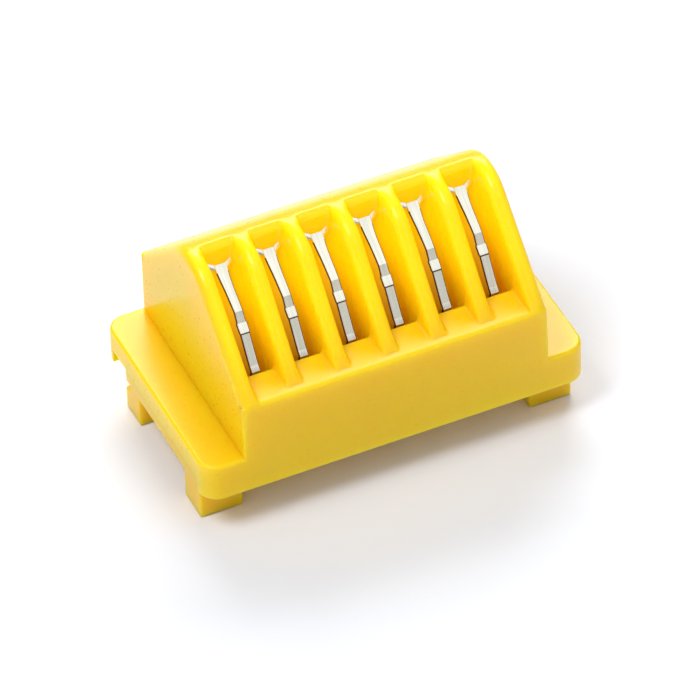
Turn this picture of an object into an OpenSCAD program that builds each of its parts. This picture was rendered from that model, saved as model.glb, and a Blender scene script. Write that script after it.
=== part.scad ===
/* [Housing] */
// Length over the two flange ends
flange_l = 40.8; // [38:0.2:44]
// Length over the two end walls
body_l = 32.4; // [32:0.1:34]
// Front to back size
depth = 24.4; // [24:0.1:26]
// Height of the front skirt, from its lower edge to the top of the flange
skirt_h = 4.3; // [3.8:0.1:5]
// Thickness of the front skirt
skirt_t = 2.2; // [2:0.1:2.6]
// Thickness of the flange between the skirts
web_t = 2.3; // [2:0.1:2.6]
// Height of the rear lip, measured like the skirt
lip_h = 3.8; // [3:0.1:3.8]
// Thickness of the rear lip
lip_t = 2.2; // [1.8:0.1:2.3]
// Radius of the four flange corners, seen from above
corner_r = 2.0; // [1:0.1:2.2]

/* [Ridge] */
// Radius of the rounded crest
crest_r = 5.2; // [4.8:0.1:5.6]
// Distance of the crest's centre behind the front face
crest_y = 12.5; // [12:0.1:13]
// Height of the crest's centre above the flange
crest_z = 10.9; // [10.7:0.05:11.2]
// Height of the rear wall above the flange
rear_top_h = 7.1; // [6.7:0.1:7.3]
// Wall thickness of the rear slope
roof_t = 1.8; // [1.4:0.1:2]
// Wall thickness of the rear wall
rear_wall_t = 2.5; // [2.4:0.1:3]

/* [Cells] */
// Distance from cell to cell
pitch = 5.08; // [5:0.01:5.2]
// Thickness of the ribs between the cells
rib_t = 1.6; // [1.4:0.05:1.8]
// How far the ribs start behind the front face
rib_setback = 1.0; // [0.6:0.1:1.4]
// Height of the front shelf above the flange
shelf_h = 6.5; // [6:0.1:7]
// Front to back size of the shelf
shelf_d = 4.3; // [4:0.1:4.4]
// Slope of the cell floors
floor_angle = 56; // [55:1:57]
// Where the cell floors would meet the flange, behind the front face
floor_y = 3.9; // [3.8:0.05:4]
// Thickness of the sloping cell floors
floor_t = 1.6; // [1.4:0.1:1.8]
// Distance of the cells' upright back edge behind the front face
cell_top_y = 12.9; // [12.8:0.1:13.4]

/* [Contacts] */
// Thickness of the contact strip
strip_t = 0.3; // [0.2:0.05:0.35]
// Width of the contact strip
strip_w = 1.0; // [0.9:0.05:1.1]
// Width of the tail under the hinge line
tail_w = 1.8; // [1.6:0.05:1.9]
// How far the solder lugs reach below the base
lug_l = 3.7; // [3:0.1:4]

/* [Base] */
// Length of the base
base_l = 40.4; // [40:0.1:40.6]
// Back edge of the base, behind the front face
base_back = 19.8; // [19.4:0.1:20.2]
// Height of the four feet below the base
foot_h = 4.3; // [4.2:0.1:5]
// Length of a foot, along the connector
foot_l = 4.5; // [4:0.1:5]
// Distance between the outer sides of the feet
feet_span = 39.8; // [39:0.1:40]

/* [Hidden] */
$fn = 96;

cell_count = 6;
cell_w = pitch - rib_t;
inner_l = cell_count * pitch - rib_t;
flange_z = foot_h + skirt_h;
over = 0.5;
fit_gap = 0.05;

// The rear slope runs from the top of the rear wall to the crest, which it touches.
rear_reach = [depth - crest_y, crest_z - rear_top_h];
rear_angle = atan2(rear_reach[1], rear_reach[0]) + asin(crest_r / norm(rear_reach));
rear_rise = tan(rear_angle);
roof_drop = roof_t / cos(rear_angle);
core_back = depth - rear_wall_t;

// The lower face of a cell floor is parallel to its upper face.
floor_rise = tan(floor_angle);
floor_under_y = floor_y + floor_t / sin(floor_angle);
core_top_z = rear_top_h + depth * rear_rise - roof_drop;
core_top_y = (core_top_z + floor_under_y * floor_rise) / (rear_rise + floor_rise);

// Each strip stands here, behind the shelf, and bends on the hinge line.
strip_y = 5.15;
hinge_z = 2.95;
hinge_gap = 0.1;
slot_w = 1.7;

// Side view of the springing part of a strip: [distance behind the front face, height].
leaf_path = [
    [strip_y, hinge_z + hinge_gap / 2],
    [strip_y, 5.4],
    [4.83, 6.24],
    [5.25, 6.62],
    [7.1, 9.3],
    [7.85, 10.0],
    [8.5, 10.95],
    [9.5, 11.6],
    [10.7, 12.3],
    [11.65, 12.85],
    [12.39, 13.54]
];
// Half width of a strip at some heights: it widens at the bend and towards the top.
leaf_half_widths = [
    [strip_w / 2, hinge_z - 1],
    [strip_w / 2, 9.2],
    [strip_w / 2 + 0.05, 9.4],
    [strip_w / 2 + 0.05, 10.0],
    [strip_w / 2 - 0.02, 10.9],
    [strip_w / 2 + 0.14, 13.6]
];

// Base
base_front = skirt_t + 0.1;
base_top = -web_t - fit_gap;
tongue_l = inner_l;
tongue_back = depth - lip_t - 0.1;
tower_h = 1.3;
tower_roof = base_top + tower_h + fit_gap;
peg_r = 0.9;
peg_h = 1.2;
peg_x = 18.2;
peg_ys = [5.2, 17.4];
front_foot_y = 2.8;
front_foot_d = 3.8;
rear_foot_y = 17.3;
pad_d = 3.4;
pad_h = 2.7;

function cell_x(n) = (n - (cell_count + 1) / 2) * pitch;
function floor_z(y) = (y - floor_y) * floor_rise;
function floor_under_z(y) = (y - floor_under_y) * floor_rise;
function roof_under_z(y) = core_top_z - y * rear_rise;

// The point where a line from (y, z) touches the front of the crest.
function crest_touch(y, z) =
    let (
        d = norm([crest_y - y, crest_z - z]),
        a = atan2(crest_z - z, crest_y - y) + asin(crest_r / d),
        reach = sqrt(d * d - crest_r * crest_r)
    )
    [y + reach * cos(a), z + reach * sin(a)];

// The unit normal of segment n of a path, to its left.
function left_normal(path, n) =
    let (d = path[n + 1] - path[n])
    [-d[1], d[0]] / norm(d);

// A corner of the path moved sideways by s, so that both segments keep their thickness.
function moved_corner(path, n, s) =
    let (
        last = len(path) - 1,
        before = left_normal(path, max(n - 1, 0)),
        after = left_normal(path, min(n, last - 1)),
        middle = (before + after) / norm(before + after)
    )
    path[n] + middle * s / (middle * after);

function ribbon(path, t) = concat(
    [for (n = [0:len(path) - 1]) moved_corner(path, n, t / 2)],
    [for (n = [len(path) - 1:-1:0]) moved_corner(path, n, -t / 2)]
);

// Heights are counted from the top of the flange and y from the front face.
module place() {
    translate([0, -depth / 2, flange_z])
        children();
}

// Turns a side view (y, z) into a solid centred on x = 0.
module extrude_x(length) {
    translate([-length / 2, 0, 0])
        rotate([90, 0, 90])
            linear_extrude(length)
                children();
}

// Side view of a wall that starts at front_y and runs over the crest.
module tent(front_y) {
    touch = crest_touch(front_y, shelf_h);
    polygon([
        [front_y, -over],
        [front_y, shelf_h],
        touch,
        [crest_y, crest_z],
        [crest_y + crest_r * sin(rear_angle), crest_z + crest_r * cos(rear_angle)],
        [depth, rear_top_h],
        [depth, -over]
    ]);
    translate([crest_y, crest_z])
        circle(crest_r);
}

module flange() {
    straight = flange_l - 2 * corner_r;
    translate([-straight / 2, 0, -skirt_h])
        cube([straight, depth, skirt_h]);
    translate([-flange_l / 2, corner_r, -skirt_h])
        cube([flange_l, depth - 2 * corner_r, skirt_h]);
    for (side = [-1, 1])
        for (y = [corner_r, depth - corner_r])
            translate([side * straight / 2, y, -skirt_h])
                cylinder(r = corner_r, h = skirt_h);
}

// The space of one cell, in front of its sloping floor and above the shelf.
module cell_cut() {
    top = crest_z + crest_r + 2;
    extrude_x(cell_w)
        polygon([
            [shelf_d, floor_z(shelf_d)],
            [cell_top_y, floor_z(cell_top_y)],
            [cell_top_y, top],
            [-over, top],
            [-over, shelf_h],
            [shelf_d, shelf_h]
        ]);
}

// The hollow under one cell's floor and the rear slope, open at the bottom.
module core_cut() {
    bottom = -web_t - over;
    extrude_x(cell_w)
        polygon([
            [shelf_d, bottom],
            [shelf_d, tower_roof],
            [floor_under_y + tower_roof / floor_rise, tower_roof],
            [core_top_y, floor_under_z(core_top_y)],
            [core_back, roof_under_z(core_back)],
            [core_back, bottom]
        ]);
}

// The slot at the bottom of a cell, for the foot of a strip.
module strip_slot() {
    translate([-slot_w / 2, shelf_d, -1.2])
        cube([slot_w, 2.1, 6.2]);
}

module base_recess() {
    span = flange_l + 2 * over;
    translate([-span / 2, skirt_t, -skirt_h - over])
        cube([span, depth - lip_t - skirt_t, skirt_h - web_t + over]);
    translate([-span / 2, skirt_t, -skirt_h - over])
        cube([span, depth, skirt_h - lip_h + over]);
}

module at_pegs() {
    for (side = [-1, 1])
        for (y = peg_ys)
            translate([side * peg_x, y, 0])
                children();
}

module housing() {
    end_wall_t = (body_l - inner_l) / 2;
    color("gold")
    place()
        difference() {
            union() {
                flange();
                for (side = [-1, 1])
                    translate([side * (body_l - end_wall_t) / 2, 0, 0])
                        extrude_x(end_wall_t)
                            tent(0);
                extrude_x(inner_l + 2 * fit_gap)
                    tent(rib_setback);
                translate([-body_l / 2, 0, -over])
                    cube([body_l, shelf_d, shelf_h + over]);
            }
            for (n = [1:cell_count])
                translate([cell_x(n), 0, 0]) {
                    cell_cut();
                    core_cut();
                    strip_slot();
                }
            base_recess();
            at_pegs()
                translate([0, 0, -web_t - over])
                    cylinder(r = peg_r + fit_gap, h = peg_h + fit_gap + over);
        }
}

module foot(side, y, d) {
    translate([side * (feet_span - foot_l) / 2 - foot_l / 2, y, -skirt_h - foot_h])
        cube([foot_l, d, foot_h + over]);
}

module rear_pad(side) {
    translate([side * (feet_span - foot_l) / 2 - foot_l / 2, rear_foot_y, -skirt_h - foot_h])
        cube([foot_l, pad_d, pad_h]);
}

module base() {
    plate_h = base_top + skirt_h;
    tower_d = 3;
    color("goldenrod")
    place()
        difference() {
            union() {
                translate([-base_l / 2, base_front, -skirt_h])
                    cube([base_l, base_back - base_front, plate_h]);
                translate([-tongue_l / 2, base_back - over, -skirt_h])
                    cube([tongue_l, tongue_back - base_back + over, plate_h]);
                for (n = [1:cell_count])
                    translate([cell_x(n) - cell_w / 2 + fit_gap, shelf_d + fit_gap, base_top - over])
                        cube([cell_w - 2 * fit_gap, tower_d, tower_h + over]);
                at_pegs()
                    translate([0, 0, base_top - over])
                        cylinder(r = peg_r, h = peg_h + over);
                for (side = [-1, 1]) {
                    foot(side, front_foot_y, front_foot_d);
                    foot(side, rear_foot_y, base_back - rear_foot_y);
                    rear_pad(side);
                }
            }
            for (n = [1:cell_count])
                translate([cell_x(n), strip_y, -skirt_h - over])
                    translate([-tail_w / 2 - fit_gap, -strip_t / 2 - fit_gap, 0])
                        cube([tail_w + 2 * fit_gap, strip_t + 2 * fit_gap, skirt_h + over]);
        }
}

// A small bar that stands out sideways and upwards from the top of a strip.
module ear(side) {
    translate([side * 0.4, 12.2, 13.36])
        rotate([0, side * 50, 0])
            translate([-0.2, -strip_t / 2, -0.2])
                cube([0.4, strip_t, 1.15]);
}

module contact_leaf(n) {
    right_side = leaf_half_widths;
    left_side = [for (k = [len(right_side) - 1:-1:0]) [-right_side[k][0], right_side[k][1]]];
    color("silver")
    place()
        translate([cell_x(n), 0, 0])
            union() {
                intersection() {
                    extrude_x(4)
                        polygon(ribbon(leaf_path, strip_t));
                    translate([0, depth, 0])
                        rotate([90, 0, 0])
                            linear_extrude(depth)
                                polygon(concat(right_side, left_side));
                }
                ear(-1);
                ear(1);
            }
}

module contact_tail(n) {
    neck_top = hinge_z - hinge_gap / 2;
    wide_top = base_top + tower_h - 0.1;
    lug_end = -skirt_h - lug_l;
    color("darkgray")
    place()
        translate([cell_x(n), strip_y, 0])
            difference() {
                union() {
                    translate([-strip_w / 2, -strip_t / 2, wide_top - over])
                        cube([strip_w, strip_t, neck_top - wide_top + over]);
                    translate([-tail_w / 2, -strip_t / 2, lug_end])
                        cube([tail_w, strip_t, wide_top - lug_end]);
                }
                translate([0, over, lug_end + 1.2])
                    rotate([90, 0, 0])
                        cylinder(r = 0.5, h = 2 * over);
            }
}

housing();
base();
contact_leaf(1);  // contact_leaf_1
contact_leaf(2);  // contact_leaf_2
contact_leaf(3);  // contact_leaf_3
contact_leaf(4);  // contact_leaf_4
contact_leaf(5);  // contact_leaf_5
contact_leaf(6);  // contact_leaf_6
contact_tail(1);  // contact_tail_1
contact_tail(2);  // contact_tail_2
contact_tail(3);  // contact_tail_3
contact_tail(4);  // contact_tail_4
contact_tail(5);  // contact_tail_5
contact_tail(6);  // contact_tail_6
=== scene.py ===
import math

import bmesh
import bpy
from mathutils import Matrix, Vector


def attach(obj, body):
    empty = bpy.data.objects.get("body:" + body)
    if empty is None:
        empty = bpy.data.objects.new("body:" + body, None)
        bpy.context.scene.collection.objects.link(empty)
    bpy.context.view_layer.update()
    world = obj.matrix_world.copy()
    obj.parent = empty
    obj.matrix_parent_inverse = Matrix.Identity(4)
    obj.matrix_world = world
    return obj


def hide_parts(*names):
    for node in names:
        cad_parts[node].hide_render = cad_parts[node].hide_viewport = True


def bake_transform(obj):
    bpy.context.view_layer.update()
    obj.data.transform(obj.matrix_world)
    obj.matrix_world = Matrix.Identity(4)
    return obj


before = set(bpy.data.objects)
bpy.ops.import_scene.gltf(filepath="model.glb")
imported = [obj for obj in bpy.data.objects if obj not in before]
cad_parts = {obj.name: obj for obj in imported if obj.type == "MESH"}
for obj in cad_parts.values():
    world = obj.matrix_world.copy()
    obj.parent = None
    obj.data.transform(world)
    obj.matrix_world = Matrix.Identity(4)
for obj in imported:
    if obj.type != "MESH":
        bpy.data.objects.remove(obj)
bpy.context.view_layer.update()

# Pieces are worked out in millimetres, with y counted back from the front face and z up from the flange top.
frontFace = 12.2
flangeHeight = 8.6
pitch = 5.08
cellX = [(n - 2.5) * pitch for n in range(6)]
intoFrame = Matrix.Translation((0, -frontFace / 1000, flangeHeight / 1000)) @ Matrix.Scale(0.001, 4)


def arcPoints(centre, radius, start, end, steps):
    points = []
    for k in range(steps + 1):
        angle = math.radians(start + (end - start) * k / steps)
        points.append((centre[0] + radius * math.cos(angle), centre[1] + radius * math.sin(angle)))
    return points


# A box between two corners, with its upright edges rounded first and then the rest of its edges.
def addBox(bm, low, high, bevel=0, segments=2, upright=0, uprightSegments=8):
    made = bmesh.ops.create_cube(bm, size=1)["verts"]
    size = [b - a for a, b in zip(low, high)]
    middle = [(a + b) / 2 for a, b in zip(low, high)]
    bmesh.ops.scale(bm, vec=size, verts=made)
    bmesh.ops.translate(bm, vec=middle, verts=made)
    edges = {e for v in made for e in v.link_edges}
    if upright:
        tall = [e for e in edges if abs(e.verts[0].co.z - e.verts[1].co.z) > size[2] / 2]
        bmesh.ops.bevel(bm, geom=tall, offset=upright, segments=uprightSegments, affect="EDGES", profile=0.5,
                        material=-1)
    if bevel:
        near = [e for e in bm.edges if e.is_valid and all(
            low[i] - 1e-4 <= v.co[i] <= high[i] + 1e-4 for v in e.verts for i in range(3))]
        rim = [e for e in near if e.calc_face_angle(0) > math.radians(40)]
        bmesh.ops.bevel(bm, geom=rim, offset=bevel, segments=segments, affect="EDGES", profile=0.5, material=-1)


# A side outline (y, z) drawn out along the row.
def addPrism(bm, outline, middleX, width):
    corners = [bm.verts.new((middleX - width / 2, y, z)) for y, z in outline]
    face = bm.faces.new(corners)
    grown = bmesh.ops.extrude_face_region(bm, geom=[face])["geom"]
    moved = [v for v in grown if isinstance(v, bmesh.types.BMVert)]
    bmesh.ops.translate(bm, vec=(width, 0, 0), verts=moved)
    bmesh.ops.recalc_face_normals(bm, faces=bm.faces)


def objectFrom(bm, name):
    mesh = bpy.data.meshes.new(name)
    bm.to_mesh(mesh)
    bm.free()
    made = bpy.data.objects.new(name, mesh)
    bpy.context.scene.collection.objects.link(made)
    return made


# Joins or cuts with a second object, which is used up.
def shaped(target, tool, operation):
    step = target.modifiers.new("cut", "BOOLEAN")
    step.object = tool
    step.operation = operation
    step.solver = "EXACT"
    bpy.context.view_layer.update()
    graph = bpy.context.evaluated_depsgraph_get()
    mesh = bpy.data.meshes.new_from_object(target.evaluated_get(graph))
    target.modifiers.clear()
    target.data = mesh
    bpy.data.objects.remove(tool)


def finished(piece, material, sharp=40):
    piece.data.transform(intoFrame)
    piece.data.materials.clear()
    piece.data.materials.append(material)
    for face in piece.data.polygons:
        face.use_smooth = True
        face.material_index = 0
    piece.data.set_sharp_from_angle(angle=math.radians(sharp))
    weighted = piece.modifiers.new("even shading", "WEIGHTED_NORMAL")
    weighted.keep_sharp = True
    weighted.weight = 60


def linearColour(code):
    parts = [int(code[i:i + 2], 16) / 255 for i in (1, 3, 5)]
    return tuple(c / 12.92 if c <= 0.04045 else ((c + 0.055) / 1.055) ** 2.4 for c in parts) + (1.0,)


def addNode(tree, kind, settings=None, links=None):
    node = tree.nodes.new(kind)
    for key, value in (settings or {}).items():
        if isinstance(key, int) or key in node.inputs:
            node.inputs[key].default_value = value
        else:
            setattr(node, key, value)
    for key, source in (links or {}).items():
        tree.links.new(source, node.inputs[key])
    return node


def newMaterial(name):
    material = bpy.data.materials.new(name)
    material.use_nodes = True
    tree = material.node_tree
    place = addNode(tree, "ShaderNodeTexCoord")
    return material, tree, tree.nodes["Principled BSDF"], place.outputs["Object"]


# The same fine grain drives colour, gloss and relief, so that they agree.
def grainedSurface(tree, shader, grain, tone, dark, light, rough, relief, depth):
    tint = addNode(tree, "ShaderNodeMix", {"data_type": "RGBA"}, {"Factor": tone})
    tint.inputs["A"].default_value = linearColour(dark)
    tint.inputs["B"].default_value = linearColour(light)
    tree.links.new(tint.outputs["Result"], shader.inputs["Base Color"])
    gloss = addNode(tree, "ShaderNodeMapRange", {"To Min": rough[0], "To Max": rough[1]}, {"Value": grain})
    tree.links.new(gloss.outputs["Result"], shader.inputs["Roughness"])
    bump = addNode(tree, "ShaderNodeBump", {"Strength": relief, "Distance": depth / 1000}, {"Height": grain})
    tree.links.new(bump.outputs["Normal"], shader.inputs["Normal"])


# A mask for the painted glow: full strength inside the cells, fading out at the given places, in millimetres.
def paintedGlowMask(tree, place, paintedGlow):
    axes = addNode(tree, "ShaderNodeSeparateXYZ", None, {"Vector": place})
    sideways = addNode(tree, "ShaderNodeMath", {"operation": "ABSOLUTE"}, {0: axes.outputs["X"]})
    value = None
    for source, fade in ((axes.outputs["Z"], "up"), (axes.outputs["Y"], "back"), (sideways.outputs[0], "across")):
        start, end = paintedGlow[fade]
        step = addNode(tree, "ShaderNodeMapRange", {"From Min": start / 1000, "From Max": end / 1000,
                                                    "interpolation_type": "SMOOTHSTEP"}, {"Value": source})
        product = addNode(tree, "ShaderNodeMath", {"operation": "MULTIPLY", 1: paintedGlow["strength"]},
                          {0: step.outputs["Result"]})
        if value:
            tree.links.new(value, product.inputs[1])
        value = product.outputs[0]
    return value


# Moulded PBT: a smooth, slightly waxy yellow with soft highlights, faintly cloudy. Sizes are in millimetres, and
# the grain is drawn coarser than a real mould leaves it, so that it shows.
plasticFinish = {
    "cloud": 9, "grain": 0.35, "relief": 0.12, "reliefDepth": 0.03, "specular": 0.36,
    "softDepth": 3.0, "softSpread": (1.0, 0.7, 0.1),
}


def mouldedPlastic(name, light, dark, rough, paintedGlow=None):
    material, tree, shader, place = newMaterial(name)
    cloud = addNode(tree, "ShaderNodeTexNoise", {"Scale": 1000 / plasticFinish["cloud"], "Detail": 2.0},
                    {"Vector": place})
    grain = addNode(tree, "ShaderNodeTexNoise", {"Scale": 1000 / plasticFinish["grain"], "Detail": 3.0},
                    {"Vector": place})
    grainedSurface(tree, shader, grain.outputs["Fac"], cloud.outputs["Fac"], dark, light, rough,
                   plasticFinish["relief"], plasticFinish["reliefDepth"])
    shader.inputs["IOR"].default_value = 1.5
    shader.inputs["Specular IOR Level"].default_value = plasticFinish["specular"]
    shader.inputs["Subsurface Weight"].default_value = 1.0
    shader.inputs["Subsurface Scale"].default_value = plasticFinish["softDepth"] / 1000
    shader.inputs["Subsurface Radius"].default_value = plasticFinish["softSpread"]
    # Painted glow: emission inside the cells, which are no lamp, brightest near their tops.
    if paintedGlow:
        shader.inputs["Emission Color"].default_value = linearColour(paintedGlow["colour"])
        tree.links.new(paintedGlowMask(tree, place, paintedGlow), shader.inputs["Emission Strength"])
    return material


# Rolled strip: long, fine streaks along the metal, bright where it is tinned. Its cut sides are dark brown: bare
# metal, drawn darker as painted shade. Its creases carry the same dark brown as painted shade.
# Sizes are in millimetres.
stripFinish = {"streakWidth": 0.25, "streakLength": 6, "relief": 0.05, "reliefDepth": 0.01}


def rolledMetal(name, light, dark, rough):
    material, tree, shader, place = newMaterial(name)
    across, along = 1000 / stripFinish["streakWidth"], 1000 / stripFinish["streakLength"]
    stretch = addNode(tree, "ShaderNodeMapping", {"Scale": (across, along, along)}, {"Vector": place})
    streaks = addNode(tree, "ShaderNodeTexNoise", {"Scale": 1.0, "Detail": 2.0},
                      {"Vector": stretch.outputs["Vector"]})
    grainedSurface(tree, shader, streaks.outputs["Fac"], streaks.outputs["Fac"], dark, light, rough,
                   stripFinish["relief"], stripFinish["reliefDepth"])
    shader.inputs["Metallic"].default_value = 1.0
    return material


# Painted glow: the cells give off light, most near their tops, though they are no lamp. It stands in for light soaking
# through the thin ribs and ridge.
paintedCellGlow = {
    "colour": "#ffdf00", "strength": 0.3, "up": (flangeHeight + 4.5, flangeHeight + 12.5),
    "back": (13.6 - frontFace, 12.8 - frontFace), "across": (16.1, 15.5),
}
housingPlastic = mouldedPlastic("PBT yellow, injection moulded", "#ffd00a", "#ffc808", (0.24, 0.34), paintedCellGlow)
basePlastic = mouldedPlastic("PBT yellow, base moulding", "#f6c40c", "#f0bc08", (0.26, 0.36))
tinned = rolledMetal("tinned phosphor bronze strip", "#fffcf2", "#d3d8ca", (0.2, 0.3))
cutEdgeAndCreaseShade = rolledMetal("bare phosphor bronze cut edge and painted crease shade", "#6a4a24", "#4a3216", (0.4, 0.55))
print("materials", len(bpy.data.materials))


# The body is six cells between ribs. Its outlines (y, z) start at the lower front edge and run up and back:
# one through the middle of a cell, one over a rib and one over an end wall, with as many points each.
body = {
    "length": 32.4, "depth": 24.4, "bottom": -1.0, "wallHeights": (0.4, 3.0, 5.6),
    "shelfHeight": 6.5, "shelfDepth": 4.3, "shelfRound": 0.35,
    "shelfPlaces": (0.6, 0.85, 1.0, 1.15, 1.35, 1.6, 1.95, 2.4, 2.9, 3.4, 3.75),
    "endEdgeRound": 0.4, "endEdgeDrop": 0.171, "endEdgeTurn": 133.7,
    "dropHeights": (5.0, 3.8, 2.8), "footHeight": 2.15, "footRound": 0.25, "footTurn": 326,
    "dropTops": (3.95, 4.05, 4.15, 4.25, 4.35, 4.7, 5.1, 5.5, 5.75, 5.85, 5.95, 6.05, 6.15, 6.3),
    "floorThickness": 1.6, "floorStart": 3.9, "floorAngle": 56,
    "foldRadius": 2.5, "foldTops": (12.0, 12.15, 12.3, 12.45, 12.6),
    "cellTop": 12.9, "ridgeRound": 0.7, "ridgeTop": 12.75,
    "crestRadius": 5.2, "crest": (12.5, 10.9), "slopeShares": (0.08, 0.36, 0.64, 0.92),
    "rearTop": 7.1, "rearWall": 2.5, "rearRound": 0.15, "roof": 1.8,
    "ribSetback": 1.0, "ribThickness": 1.6, "ribRim": 0.76,
    "cellFillet": 0.7, "shelfFillet": 0.4, "pocketFillet": 1.35, "pocketTop": 2.9,
    "endRim": 0.9, "uprightRim": 0.3, "uprightDepth": 1, "uprightDrop": 0.3, "rearRim": 0.5,
}
rise = math.tan(math.radians(body["floorAngle"]))
rearReach = (body["depth"] - body["crest"][0], body["crest"][1] - body["rearTop"])
rearAngle = math.atan2(rearReach[1], rearReach[0]) + math.asin(body["crestRadius"] / math.hypot(*rearReach))


# Height of a wall's top edge: a straight line from the shelf that touches the round crest, then the crest.
def tentHeight(y, front):
    cy, cz = body["crest"]
    r = body["crestRadius"]
    dy, dz = cy - front, cz - body["shelfHeight"]
    angle = math.atan2(dz, dy) + math.asin(r / math.hypot(dy, dz))
    touch = cy - r * math.sin(angle)
    if y <= front:
        return body["shelfHeight"]
    if y < touch:
        return body["shelfHeight"] + (y - front) * math.tan(angle)
    return cz + math.sqrt(max(r * r - (y - cy) ** 2, 0))


def bodyOutlines():
    cy, cz = body["crest"]
    r = body["crestRadius"]
    h = body["shelfHeight"]
    d = body["shelfDepth"]
    s = body["shelfRound"]
    cell, rib, end = [], [], []

    def both(points, tops=None):
        cell.extend(points)
        rib.extend(tops or points)

    # front face and its top edge
    front = [(0, z) for z in (body["bottom"], *body["wallHeights"])]
    both(front)
    end.extend(front)
    both(arcPoints((s, h - s), s, 180, 90, 4))
    edge = body["endEdgeRound"]
    end.extend(arcPoints((edge, h - body["endEdgeDrop"]), edge, 180, body["endEdgeTurn"], 4))
    # shelf
    ys = body["shelfPlaces"]
    both([(y, h) for y in ys], [(y, tentHeight(y, body["ribSetback"])) for y in ys])
    end.extend((y, tentHeight(y, 0)) for y in ys)
    # back edge of the shelf and the drop behind it
    foot = arcPoints((d + body["footRound"], body["footHeight"]), body["footRound"], 180, body["footTurn"], 5)
    drop = arcPoints((d - s, h - s), s, 90, 0, 4) + [(d, z) for z in body["dropHeights"]] + foot
    # sloping floor, and the fold where it turns upright
    steep = math.radians(body["floorAngle"])
    radius = body["foldRadius"]
    reach = radius * math.tan((math.pi / 2 - steep) / 2)
    foldZ = (body["cellTop"] - body["floorStart"]) * rise
    floorFrom = foot[-1]
    floorEnd = (body["cellTop"] - reach * math.cos(steep), foldZ - reach * math.sin(steep))
    steps = 12
    floor = [(floorFrom[0] + (floorEnd[0] - floorFrom[0]) * k / steps,
              floorFrom[1] + (floorEnd[1] - floorFrom[1]) * k / steps) for k in range(1, steps)]
    first, last = body["dropTops"][-1], body["foldTops"][0]
    floorTops = [first + (last - first) * k / steps for k in range(1, steps)]
    fold = arcPoints((body["cellTop"] - radius, foldZ + reach), radius, body["floorAngle"] - 90, 0, 4)
    # rounded ridge over the cell's upright back
    t = body["ridgeRound"]
    ridgeCentre = (body["cellTop"] + t, cz + math.sqrt((r - t) ** 2 - (body["cellTop"] + t - cy) ** 2))
    leave = math.degrees(math.atan2(ridgeCentre[1] - cz, ridgeCentre[0] - cy))
    ridgeSteps = 8
    ridge = arcPoints(ridgeCentre, t, 180, leave, ridgeSteps)
    start = body["ridgeTop"]
    ridgeTops = [start + (ridge[-1][0] - start) * k / ridgeSteps for k in range(ridgeSteps + 1)]
    tops = [*body["dropTops"], *floorTops, *body["foldTops"], *ridgeTops]
    both(drop + floor + fold + ridge, [(y, tentHeight(y, body["ribSetback"])) for y in tops])
    end.extend((y, tentHeight(y, 0)) for y in tops)
    # crest, rear slope, rear edge and rear wall
    edge = body["rearRound"]
    away = 90 - math.degrees(rearAngle)
    cut = edge * math.tan(math.radians(away) / 2)
    slopeTop = (cy + r * math.sin(rearAngle), cz + r * math.cos(rearAngle))
    slopeEnd = (body["depth"] - cut * math.cos(rearAngle), body["rearTop"] + cut * math.sin(rearAngle))
    rear = arcPoints((cy, cz), r, leave, away, 6)[1:]
    rear += [(slopeTop[0] + (slopeEnd[0] - slopeTop[0]) * f, slopeTop[1] + (slopeEnd[1] - slopeTop[1]) * f)
             for f in body["slopeShares"]]
    rear += arcPoints((body["depth"] - edge, body["rearTop"] - cut), edge, away, 0, 3)
    rear += [(body["depth"], z) for z in (*reversed(body["wallHeights"]), body["bottom"])]
    both(rear)
    end.extend(rear)
    return [[Vector(p) for p in line] for line in (cell, rib, end)]


def outwardNormals(line):
    normals = []
    for i, point in enumerate(line):
        before = (point - line[i - 1]).normalized()
        after = (line[(i + 1) % len(line)] - point).normalized()
        along = (before + after).normalized()
        normals.append(Vector((-along.y, along.x)))
    return normals


def smoothed(sizes, passes):
    for _ in range(passes):
        sizes = [(sizes[i - 1] + 2 * sizes[i] + sizes[(i + 1) % len(sizes)]) / 4 for i in range(len(sizes))]
    return sizes


nearly = 0.01  # slack for telling whether a point lies on a face


# How far each point of a cell's outline is rounded into its side walls: little on the shelf, much in the pocket.
def filletSizes(cell):
    sizes = []
    for point in cell:
        if point.x < body["shelfDepth"] + nearly:
            sizes.append(body["shelfFillet"])
        elif point.x < body["cellTop"] - nearly and point.y < body["crest"][1] + body["pocketTop"]:
            sizes.append(body["pocketFillet"])
        else:
            sizes.append(body["cellFillet"])
    return smoothed(sizes, 3)


# Rounded edges along a wall. Where the wall is low they share its height, and the gap keeps them from folding over.
wallEdge = {"steps": 5, "leastSlope": 0.35, "share": 0.96, "gap": 0.03}


# The rings between a cell's outline and a wall's outline: first the fillet up the wall, then the wall's rounded rim.
def wallSide(cell, top, faceX, side, fillets, rim):
    plans = []
    for c, t, nc, nt, fillet in zip(cell, top, outwardNormals(cell), outwardNormals(top), fillets):
        reach = (t - c).length
        way, a, b, fit = Vector((0, 0)), 0, 0, 0
        if reach > 1e-6:
            way = (t - c) / reach
            a = fillet / max(nc.dot(way), wallEdge["leastSlope"])
            b = rim / max(nt.dot(way), wallEdge["leastSlope"])
            fit = min(1, wallEdge["share"] * reach / (a + b))
        spare = wallEdge["gap"] * (1 - min(1, reach))
        plans.append((c, t, way, a * fit, b * fit, spare, fillet))
    turns = [math.pi / 2 * k / wallEdge["steps"] for k in range(wallEdge["steps"] + 1)]
    rings = []
    for turn in turns:
        rings.append([(faceX - side * (fillet * (1 - math.sin(turn)) + spare), c + way * a * (1 - math.cos(turn)))
                      for c, t, way, a, b, spare, fillet in plans])
    for turn in turns:
        rings.append([(faceX + side * (rim * (1 - math.cos(turn)) + spare), t - way * b * (1 - math.sin(turn)))
                      for c, t, way, a, b, spare, fillet in plans])
    return rings


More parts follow.
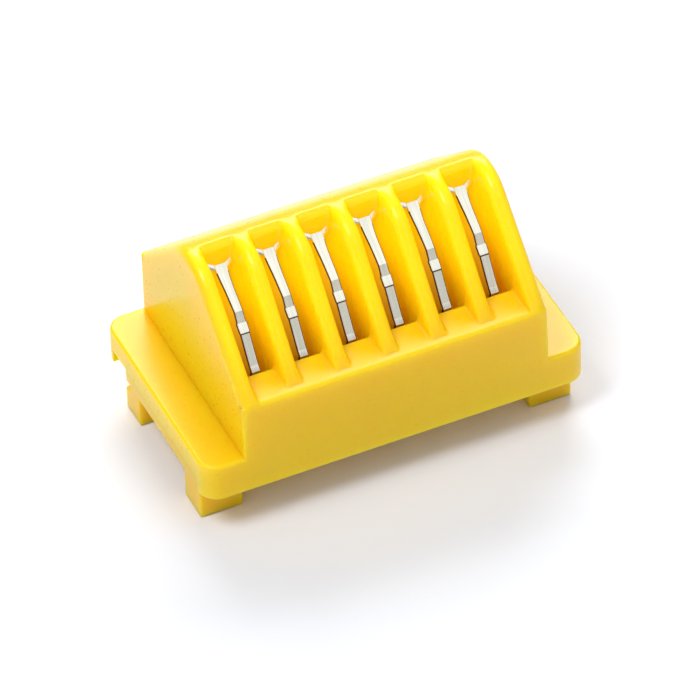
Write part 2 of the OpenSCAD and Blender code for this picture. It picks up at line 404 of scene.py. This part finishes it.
# How far each point of an end wall is rounded over to the outside.
def endRims(end):
    rims = []
    for point in end:
        if point.y < body["shelfHeight"] - body["uprightDrop"] and point.x < body["uprightDepth"]:
            rims.append(body["uprightRim"])
        elif point.x > body["depth"] - nearly:
            rims.append(body["rearRim"])
        else:
            rims.append(body["endRim"])
    return smoothed(rims, 2)


def bodyRings():
    cell, rib, end = bodyOutlines()
    half = body["length"] / 2
    inner = 3 * pitch - body["ribThickness"] / 2
    fillets = filletSizes(cell)
    plan = list(zip(end, outwardNormals(end), endRims(end)))
    steps = 6
    outer = []
    for k in range(steps + 1):
        turn = math.pi / 2 * k / steps
        outer.append([(half - r * (1 - math.sin(turn)), e - n * r * (1 - math.cos(turn))) for e, n, r in plan])
    rightEnd = wallSide(cell, end, inner, 1, fillets, body["ribRim"]) + outer
    rings = [[(-x, p) for x, p in ring] for ring in reversed(rightEnd)]
    for n in range(1, 6):
        middle = (n - 3) * pitch
        rings.append([((n - 3.5) * pitch, p) for p in cell])
        t = body["ribThickness"] / 2
        left = wallSide(cell, rib, middle - t, 1, fillets, body["ribRim"])
        right = wallSide(cell, rib, middle + t, -1, fillets, body["ribRim"])
        rings += left + right[::-1]
    rings.append([(2.5 * pitch, p) for p in cell])
    return rings + rightEnd


# A closed skin through rings of points. Each point is its place along the row and its (y, z).
def addSkin(bm, rings, middleX=0):
    count = len(rings[0])
    bmesh.ops.create_grid(bm, x_segments=len(rings) - 1, y_segments=count, size=1)
    order = sorted(bm.verts, key=lambda v: (round(v.co.x * 1e4), round(v.co.y * 1e4)))
    for i, vert in enumerate(order):
        x, point = rings[i // (count + 1)][(i % (count + 1)) % count]
        vert.co = (x + middleX, point.x, point.y)
    bmesh.ops.remove_doubles(bm, verts=bm.verts, dist=1e-4)
    bmesh.ops.holes_fill(bm, edges=[e for e in bm.edges if e.is_boundary], sides=0)
    bmesh.ops.recalc_face_normals(bm, faces=bm.faces)


# A box given by its middle along the row, half its length, and its reach in y and z.
def addBlock(bm, middleX, half, y, z, **rounding):
    addBox(bm, (middleX - half, y[0], z[0]), (middleX + half, y[1], z[1]), **rounding)


# The flange carries the body, and its recess leaves a skirt in front and behind.
flange = {
    "block": {"half": 20.4, "y": (0, 24.4), "z": (-4.3, 0), "bevel": 0.35, "segments": 3, "upright": 2.0,
              "uprightSegments": 10},
    "recess": [(2.2, -5), (2.2, -2.3), (22.2, -2.3), (22.2, -3.8), (25, -3.8), (25, -5)], "recessLength": 42,
    "hollowLow": -2.8, "hollowStep": -1.0,
    "stripSlot": {"half": 0.85, "y": (4.35, 6.4), "z": (-2.6, 5.0)},
}


# The space under a cell's floor and behind it, left by a wall of even thickness.
def hollowOutline():
    under = body["floorStart"] + body["floorThickness"] / math.sin(math.radians(body["floorAngle"]))
    front, back = body["shelfDepth"], body["depth"] - body["rearWall"]
    low, step = flange["hollowLow"], flange["hollowStep"]
    fall = math.tan(rearAngle)
    peak = body["rearTop"] + body["depth"] * fall - body["roof"] / math.cos(rearAngle)
    topY = (peak + under * rise) / (fall + rise)
    return [(front, low), (front, step), (under + step / rise, step), (topY, (topY - under) * rise),
            (back, peak - back * fall), (back, low)]


def makeHousing():
    rings = bodyRings()
    bm = bmesh.new()
    addSkin(bm, rings)
    print("body rings", len(rings), "points", len(rings[0]), "faces", len(bm.faces),
          "open edges", sum(not e.is_manifold for e in bm.edges))
    housing = objectFrom(bm, "housing_shell")

    block = bmesh.new()
    addBlock(block, 0, **flange["block"])
    shaped(housing, objectFrom(block, "flangeTool"), "UNION")

    recess = bmesh.new()
    addPrism(recess, flange["recess"], 0, flange["recessLength"])
    shaped(housing, objectFrom(recess, "recessTool"), "DIFFERENCE")

    hollows = bmesh.new()
    for x in cellX:
        addPrism(hollows, hollowOutline(), x, pitch - body["ribThickness"])
    shaped(housing, objectFrom(hollows, "hollowTool"), "DIFFERENCE")

    slots = bmesh.new()
    for x in cellX:
        addBlock(slots, x, **flange["stripSlot"])
    shaped(housing, objectFrom(slots, "slotTool"), "DIFFERENCE")

    finished(housing, housingPlastic)
    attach(housing, "block")
    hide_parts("housing")
    print("housing", len(housing.data.polygons))


makeHousing()


# The base closes the housing from below: a plate on four feet, a tongue behind and a tower under each cell.
baseSizes = {
    "plate": {"half": 20.2, "y": (2.3, 19.8), "z": (-4.3, -2.35), "bevel": 0.15, "segments": 2},
    "footX": (15.4, 19.9), "frontFoot": ((2.8, -8.6), (6.6, -3.8)), "rearFoot": ((17.3, -8.6), (19.78, -3.8)),
    "rearPad": ((17.6, -8.599), (20.7, -5.9)), "padInset": 0.001, "footRound": {"bevel": 0.25, "segments": 3},
    "tongue": {"half": 14.44, "y": (19.0, 22.1), "z": (-4.29, -2.36), "bevel": 0.15, "segments": 2},
    "tower": {"half": 1.69, "y": (4.35, 7.35), "z": (-3.0, -1.05), "bevel": 0.1, "segments": 1},
    "lugSlot": {"half": 0.95, "y": (4.95, 5.35), "z": (-5, 0)},
}


def addFoot(bm, side, corners, inset=0):
    x0, x1 = sorted(side * x for x in baseSizes["footX"])
    low, high = corners
    addBox(bm, (x0 + inset, *low), (x1 - inset, *high), **baseSizes["footRound"])


def makeBase():
    plate = bmesh.new()
    addBlock(plate, 0, **baseSizes["plate"])
    base = objectFrom(plate, "base_plate")

    feet = bmesh.new()
    for side in (-1, 1):
        addFoot(feet, side, baseSizes["frontFoot"])
        addFoot(feet, side, baseSizes["rearFoot"])
    shaped(base, objectFrom(feet, "feetTool"), "UNION")

    pads = bmesh.new()
    for side in (-1, 1):
        addFoot(pads, side, baseSizes["rearPad"], baseSizes["padInset"])
    shaped(base, objectFrom(pads, "padTool"), "UNION")

    tongue = bmesh.new()
    addBlock(tongue, 0, **baseSizes["tongue"])
    for x in cellX:
        addBlock(tongue, x, **baseSizes["tower"])
    shaped(base, objectFrom(tongue, "tongueTool"), "UNION")

    slots = bmesh.new()
    for x in cellX:
        addBlock(slots, x, **baseSizes["lugSlot"])
    shaped(base, objectFrom(slots, "lugTool"), "DIFFERENCE")

    finished(base, basePlastic)
    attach(base, "block")
    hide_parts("base")
    print("base", len(base.data.polygons))


makeBase()


# One bent strip per cell: a solder lug below, the flexing leaf, and a top that forks into two ears.
# The path and the creases are side places (y, z) and heights, and the half widths go by height.
contact = {
    "thickness": 0.3, "coin": 0.09, "sharp": 30,
    "path": [(5.15, -8.0), (5.15, -3.0), (5.15, -1.35), (5.15, -1.25), (5.15, 0.8), (5.15, 2.9), (5.15, 4.6),
             (5.13, 5.3), (5.0, 5.72), (4.86, 6.08), (4.83, 6.2), (4.89, 6.29), (5.2, 6.57), (5.28, 6.67), (5.9, 7.53),
             (6.5, 8.42), (7.03, 9.2), (7.09, 9.29), (7.15, 9.35), (7.78, 9.93), (7.84, 9.98), (7.9, 10.07),
             (8.45, 10.88), (8.5, 10.94), (8.57, 10.99), (9.1, 11.34), (9.7, 11.7), (10.5, 12.16), (11.1, 12.5),
             (11.6, 12.83), (12.0, 13.17), (12.4, 13.55), (12.58, 13.73)],
    "halfWidths": [(-8.0, 0.9), (-1.35, 0.9), (-1.25, 0.5), (9.2, 0.5), (9.4, 0.57), (9.95, 0.57), (10.05, 0.49),
                   (10.9, 0.47), (12.2, 0.52), (12.8, 0.58), (13.4, 0.66), (13.73, 0.68)],
    # The crease bands are painted shade, drawn in the dark cut-edge colour.
    "creases": [(6.55, 6.69), (9.18, 9.36), (10.86, 11.0)],
    "earBase": (0.47, 12.38, 13.5), "earSize": (0.52, 0.24, 1.2), "earSink": 0.25, "earRound": 0.04,
    "earLean": 62, "earTilt": -46,
    "sideFace": 0.5, "earSideFace": 0.8, "earBelow": 0.3,
    "flexY": 5.15, "flexZ": (2.0, 6.0),
}


def halfWidthAt(z):
    table = contact["halfWidths"]
    for (z0, w0), (z1, w1) in zip(table, table[1:]):
        if z <= z1:
            return w0 + (w1 - w0) * max(0, (z - z0) / (z1 - z0))
    return table[-1][1]


# A flat section with coined corners, carried along the path and kept square to it.
def stripRings():
    path = [Vector(p) for p in contact["path"]]
    half = contact["thickness"] / 2
    coin = contact["coin"]
    rings = []
    for i, point in enumerate(path):
        before = (point - path[max(i - 1, 0)]).normalized()
        after = (path[min(i + 1, len(path) - 1)] - point).normalized()
        along = (before + after).normalized()
        across = Vector((-along.y, along.x))
        stretch = 1 / max(across.dot(Vector((-after.y, after.x))) if after.length else 1, 0.5)
        w = halfWidthAt(point.y)
        section = [(-w + coin, half), (w - coin, half), (w, half - coin), (w, coin - half), (w - coin, -half),
                   (coin - w, -half), (-w, coin - half), (-w, half - coin)]
        rings.append([(x, point + across * s * stretch) for x, s in section])
    return rings


def addEar(bm, middleX, side):
    width, thick, length = contact["earSize"]
    baseX, baseY, baseZ = contact["earBase"]
    sink = contact["earSink"]
    fresh = len(bm.verts)
    addBox(bm, (-width / 2, -thick / 2, -sink), (width / 2, thick / 2, length - sink),
           bevel=contact["earRound"], segments=2)
    bm.verts.ensure_lookup_table()
    turn = Matrix.Translation((middleX + side * baseX, baseY, baseZ))
    turn = turn @ Matrix.Rotation(math.radians(contact["earTilt"]), 4, "X")
    turn = turn @ Matrix.Rotation(math.radians(contact["earLean"] * side), 4, "Y")
    bmesh.ops.transform(bm, matrix=turn, verts=list(bm.verts)[fresh:])


# The sheared sides are bare metal, also drawn dark brown as painted shade, and the bands at the creases are painted
# shade. Near the ears only faces that look straight sideways count.
def isBareOrPaintedShade(face):
    z = face.center.z * 1000 - flangeHeight
    nearEars = z >= contact["earBase"][2] - contact["earBelow"]
    sideways = abs(face.normal.x) > contact["earSideFace" if nearEars else "sideFace"]
    return sideways or any(low < z < high for low, high in contact["creases"])


def makeContact(n):
    bm = bmesh.new()
    addSkin(bm, stripRings(), cellX[n])
    piece = objectFrom(bm, "contact_%d" % (n + 1))
    ears = bmesh.new()
    for side in (-1, 1):
        addEar(ears, cellX[n], side)
    shaped(piece, objectFrom(ears, "earTool"), "UNION")
    finished(piece, tinned, sharp=contact["sharp"])
    # Dark brown goes on the bare sheared sides, darkened further as painted shade, and on the crease bands, which are
    # painted shade.
    piece.data.materials.append(cutEdgeAndCreaseShade)
    for face in piece.data.polygons:
        if isBareOrPaintedShade(face):
            face.material_index = 1
    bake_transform(piece)
    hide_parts("contact_leaf_%d" % (n + 1), "contact_tail_%d" % (n + 1))


for n in range(6):
    makeContact(n)
print("contacts", len(cellX))


# Matt white paper: no gloss, and a trace of blue against the yellow.
sweep = {"halfSide": 2, "drop": 0.02, "colour": "#eef1f8", "roughness": 0.9}


def makeStage():
    bm = bmesh.new()
    bmesh.ops.create_grid(bm, x_segments=1, y_segments=1, size=sweep["halfSide"])
    floor = objectFrom(bm, "floor")
    material = bpy.data.materials.new("white paper sweep")
    material.use_nodes = True
    shader = material.node_tree.nodes["Principled BSDF"]
    shader.inputs["Base Color"].default_value = linearColour(sweep["colour"])
    shader.inputs["Roughness"].default_value = sweep["roughness"]
    floor.data.materials.append(material)
    floor.location = (0, 0, -sweep["drop"] / 1000)
    print("floor")


# Softboxes in metres and watts, each aimed at the middle of the object.
lights = {
    "back box": {"direction": (0.26, 0.70, 0.66), "distance": 0.45, "size": (0.32, 0.2), "watts": 1.4},
    "overhead box": {"direction": (0.28, -0.40, 0.87), "distance": 0.5, "size": (0.4, 0.4), "watts": 0.44},
    "upper left box": {"direction": (-0.45, -0.12, 0.88), "distance": 0.5, "size": (0.18, 0.18), "watts": 1.2},
    "front card": {"direction": (0.30, -0.87, 0.39), "distance": 0.6, "size": (0.26, 0.2), "watts": 0.075},
    "left box": {"direction": (-0.90, -0.35, 0.26), "distance": 0.5, "size": (0.3, 0.12), "watts": 0.2},
}
surroundings = 0.3


def addSoftbox(name, direction, distance, size, watts):
    light = bpy.data.lights.new(name, "AREA")
    light.shape = "RECTANGLE"
    light.size, light.size_y = size
    light.energy = watts
    lamp = bpy.data.objects.new(name, light)
    bpy.context.scene.collection.objects.link(lamp)
    way = Vector(direction).normalized()
    lamp.location = way * distance
    lamp.rotation_euler = way.to_track_quat("Z", "Y").to_euler()


def makeLights():
    for name, plan in lights.items():
        addSoftbox(name, **plan)
    world = bpy.data.worlds.new("studio")
    bpy.context.scene.world = world
    world.use_nodes = True
    world.node_tree.nodes["Background"].inputs["Color"].default_value = (1, 1, 1, 1)
    world.node_tree.nodes["Background"].inputs["Strength"].default_value = surroundings
    print("lights", len(lights))


# Angles in degrees, the aim and the distance in millimetres, and the clipping in metres.
camera = {
    "azimuth": -23.511, "elevation": 42.177, "roll": -1.866, "aim": (0, 0, 12.5), "distance": 806.12,
    "sensor": 36, "lens": 426.8, "shift": (0.00856, -0.06713), "clip": (0.05, 20),
}


def makeCamera():
    azimuth, elevation, roll = (math.radians(camera[k]) for k in ("azimuth", "elevation", "roll"))
    back = Vector((math.sin(azimuth) * math.cos(elevation), -math.cos(azimuth) * math.cos(elevation),
                   math.sin(elevation)))
    level = Vector((math.cos(azimuth), math.sin(azimuth), 0))
    upright = back.cross(level)
    right = level * math.cos(roll) + upright * math.sin(roll)
    up = upright * math.cos(roll) - level * math.sin(roll)
    lens = bpy.data.cameras.new("camera")
    lens.sensor_width = camera["sensor"]
    lens.lens = camera["lens"]
    lens.shift_x, lens.shift_y = camera["shift"]
    lens.clip_start, lens.clip_end = camera["clip"]
    view = bpy.data.objects.new("camera", lens)
    bpy.context.scene.collection.objects.link(view)
    spot = (Vector(camera["aim"]) + back * camera["distance"]) / 1000
    view.matrix_world = Matrix((
        (right.x, up.x, back.x, spot.x), (right.y, up.y, back.y, spot.y), (right.z, up.z, back.z, spot.z),
        (0, 0, 0, 1)))
    bpy.context.scene.camera = view
    print("camera")


makeStage()
makeLights()
makeCamera()
bpy.context.scene.view_settings.view_transform = "Standard"
